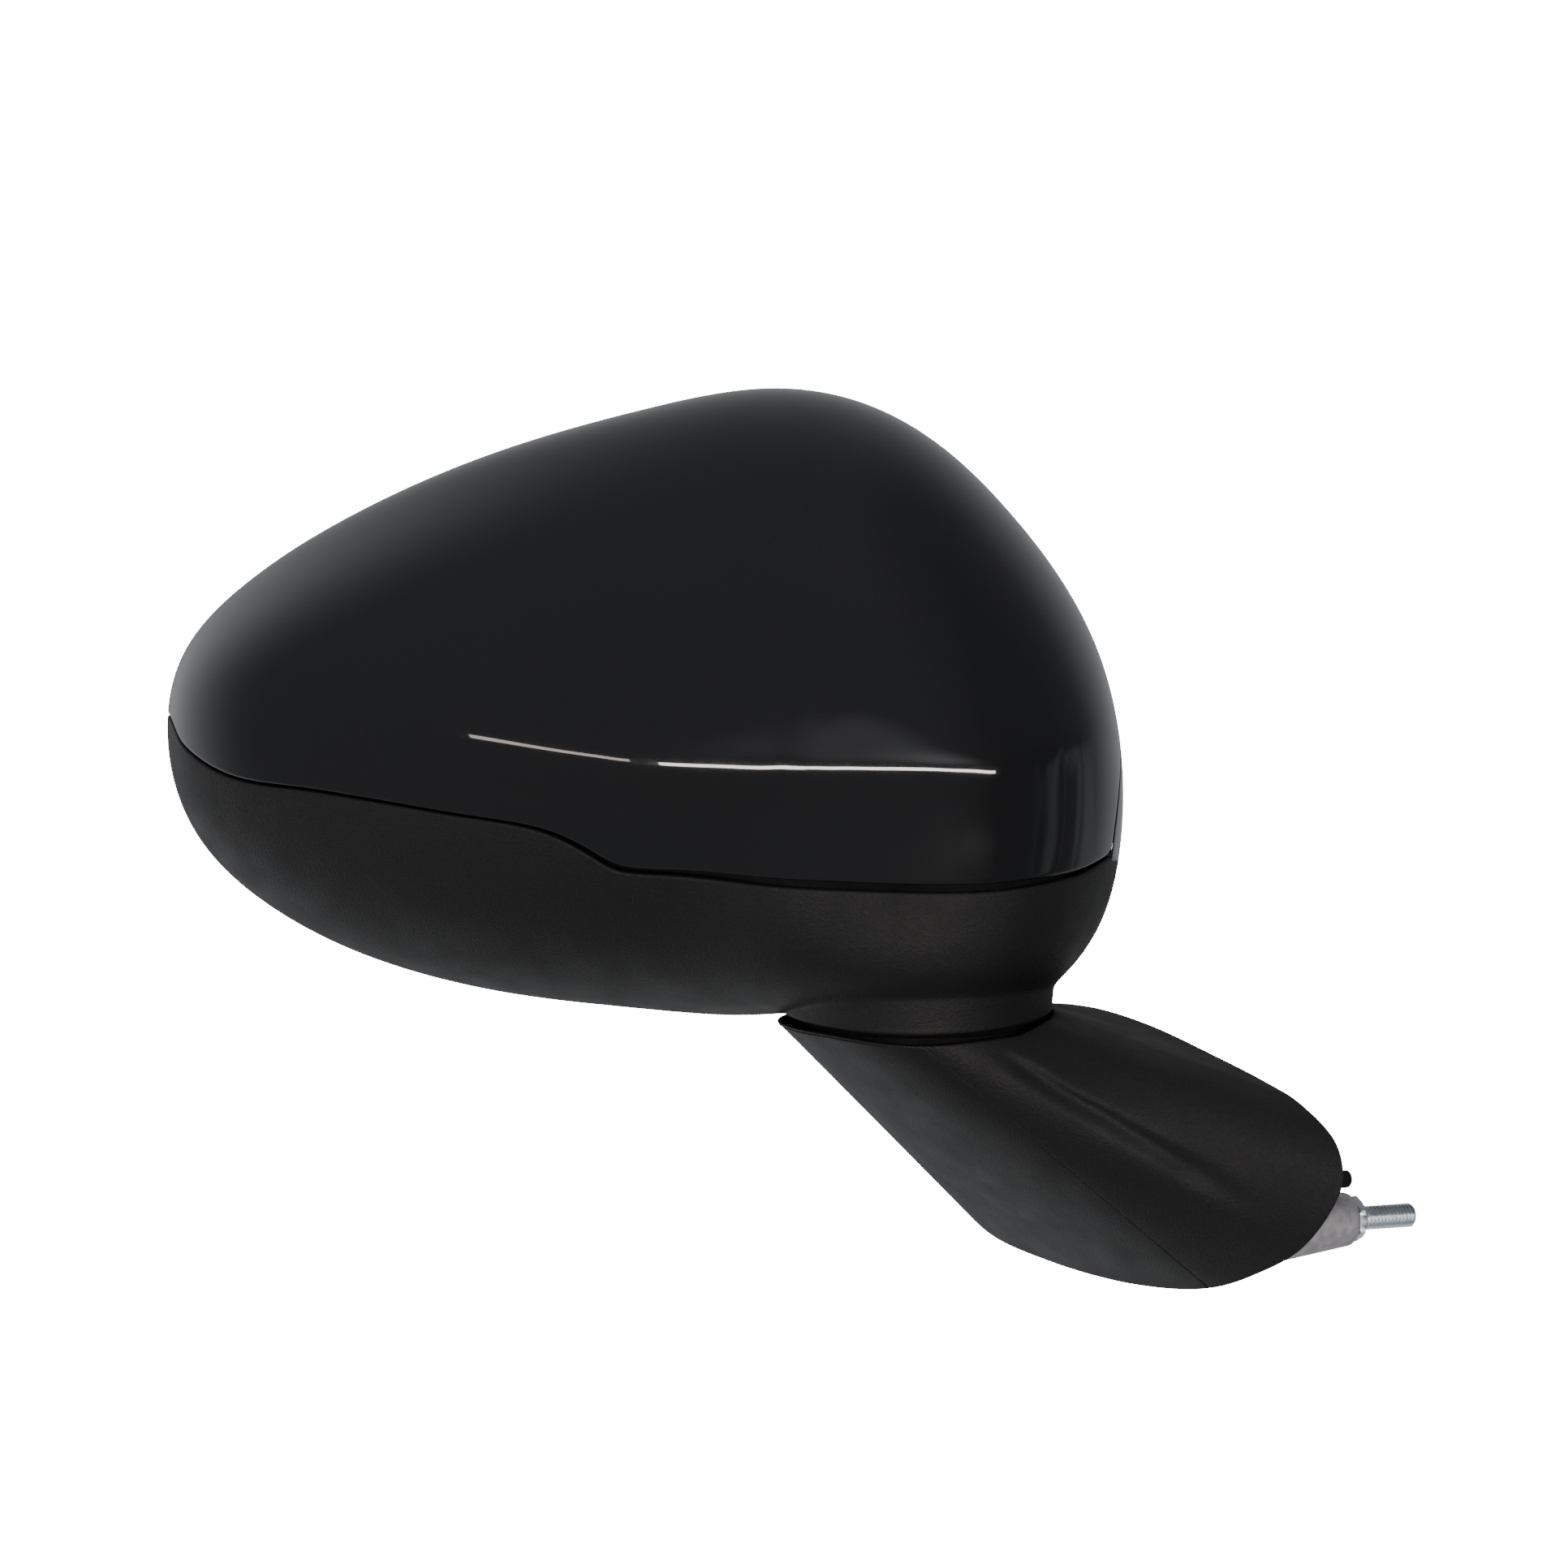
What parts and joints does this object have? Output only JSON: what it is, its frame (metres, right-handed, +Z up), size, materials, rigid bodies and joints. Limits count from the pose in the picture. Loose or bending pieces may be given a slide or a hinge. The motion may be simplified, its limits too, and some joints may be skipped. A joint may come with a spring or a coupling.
{
  "type": "car side mirror",
  "caption": "Right-hand exterior car door mirror with a folding head, gloss black cap, textured black lower cover and foot, and a tilting convex glass.",
  "frame": {"origin": "on the flat door face of the gasket, near the middle of the foot's rim", "axes": "+X inboard towards the door, +Y rearwards (the glass looks along +Y), +Z up"},
  "size_m": [0.3169, 0.1033, 0.2273],
  "materials": {
    "gloss_paint": "deep gloss black paint with a clear coat over moulded plastic",
    "textured_cover": "fine-grained black moulded plastic",
    "bezel_black": "smooth satin black moulded plastic",
    "frame_nylon": "glass-filled black nylon",
    "white_acetal": "natural white acetal",
    "cast_zinc": "as-cast grey metal, slightly mottled",
    "plated_steel": "bright zinc-plated steel",
    "bare_steel": "plain satin steel",
    "brass": "turned brass",
    "mirror_silver": "convex silvered mirror",
    "gasket_foam": "closed-cell black foam",
    "black_rubber": "matt black rubber",
    "heater_film": "dark heater film"
  },
  "bodies": {
    "foot": {"foot_cover_front": "textured_cover", "foot_cover_inboard": "textured_cover", "base_bracket": "cast_zinc", "door_gasket": "gasket_foam", "harness_grommet": "black_rubber", "door_stud": "plated_steel", "locating_peg": "black_rubber", "cover_screw_1": "bare_steel", "cover_screw_2": "bare_steel", "cover_screw_3": "bare_steel", "detent_plate": "bare_steel", "spring_washer": "bare_steel", "retaining_ring": "bare_steel", "foot_lead": "black_rubber"},
    "head": {"skull_cap": "gloss_paint", "lower_cover": "textured_cover", "glass_bezel": "bezel_black", "carrier_frame": "frame_nylon", "pivot_bush": "white_acetal", "fold_detent_ring": "bare_steel", "fold_spring": "bare_steel", "adjuster_case": "frame_nylon", "adjuster_cover": "frame_nylon", "adjuster_plug": "white_acetal", "head_lead": "black_rubber", "adjuster_screw_1": "bare_steel", "adjuster_screw_2": "bare_steel", "adjuster_screw_3": "bare_steel", "bezel_screw_1": "bare_steel", "bezel_screw_2": "bare_steel", "bezel_screw_3": "bare_steel", "tilt_motor": "bare_steel", "pan_motor": "bare_steel"},
    "tilt_worm_shaft": {"tilt_worm": "brass"},
    "tilt_gear": {"tilt_wheel": "white_acetal"},
    "tilt_pusher": {"tilt_plunger": "white_acetal"},
    "pan_worm_shaft": {"pan_worm": "brass"},
    "pan_gear": {"pan_wheel": "white_acetal"},
    "pan_pusher": {"pan_plunger": "white_acetal"},
    "gimbal": {"gimbal_ring": "frame_nylon"},
    "glass": {"mirror_glass": "mirror_silver", "heater_pad": "heater_film", "backing_plate": "bezel_black"}
  },
  "joints": [
    {"name": "head_fold", "type": "hinge", "parent": "foot", "child": "head", "pos_m": [-0.06234, -0.00419, 0.03888], "axis": [0, 0, -1], "range_deg": [-55, 65]},
    {"name": "glass_pan", "type": "hinge", "parent": "head", "child": "gimbal", "pos_m": [-0.12634, 0.02181, 0.10888], "axis": [0, 0, 1], "range_deg": [-7, 7]},
    {"name": "glass_tilt", "type": "hinge", "parent": "gimbal", "child": "glass", "pos_m": [-0.12634, 0.02181, 0.10888], "axis": [1, 0, 0], "range_deg": [-7, 7]},
    {"name": "tilt_push", "type": "slide", "parent": "head", "child": "tilt_pusher", "axis": [0, 1, 0], "range_m": [-0.0028, 0.0028]},
    {"name": "pan_push", "type": "slide", "parent": "head", "child": "pan_pusher", "axis": [0, 1, 0], "range_m": [-0.0028, 0.0028]},
    {"name": "tilt_gear_turn", "type": "hinge", "parent": "head", "child": "tilt_gear", "pos_m": [-0.12634, -0.00369, 0.13088], "axis": [0, 1, 0], "range_deg": [-125, 125]},
    {"name": "pan_gear_turn", "type": "hinge", "parent": "head", "child": "pan_gear", "pos_m": [-0.10434, -0.00369, 0.10888], "axis": [0, 1, 0], "range_deg": [-125, 125]},
    {"name": "tilt_worm_turn", "type": "hinge", "parent": "head", "child": "tilt_worm_shaft", "pos_m": [-0.12634, -0.00369, 0.11848], "axis": [1, 0, 0], "range_deg": [-620, 620]},
    {"name": "pan_worm_turn", "type": "hinge", "parent": "head", "child": "pan_worm_shaft", "pos_m": [-0.11674, -0.00369, 0.10888], "axis": [0, 0, 1], "range_deg": [-620, 620]}
  ],
  "couplings": [
    {"joint": "tilt_push", "follows": "glass_tilt", "m_per_rad": -0.022},
    {"joint": "pan_push", "follows": "glass_pan", "m_per_rad": 0.022},
    {"joint": "tilt_gear_turn", "follows": "glass_tilt", "ratio": -17.279},
    {"joint": "pan_gear_turn", "follows": "glass_pan", "ratio": 17.279},
    {"joint": "tilt_worm_turn", "follows": "glass_tilt", "ratio": 86.394},
    {"joint": "pan_worm_turn", "follows": "glass_pan", "ratio": 86.394}
  ]
}
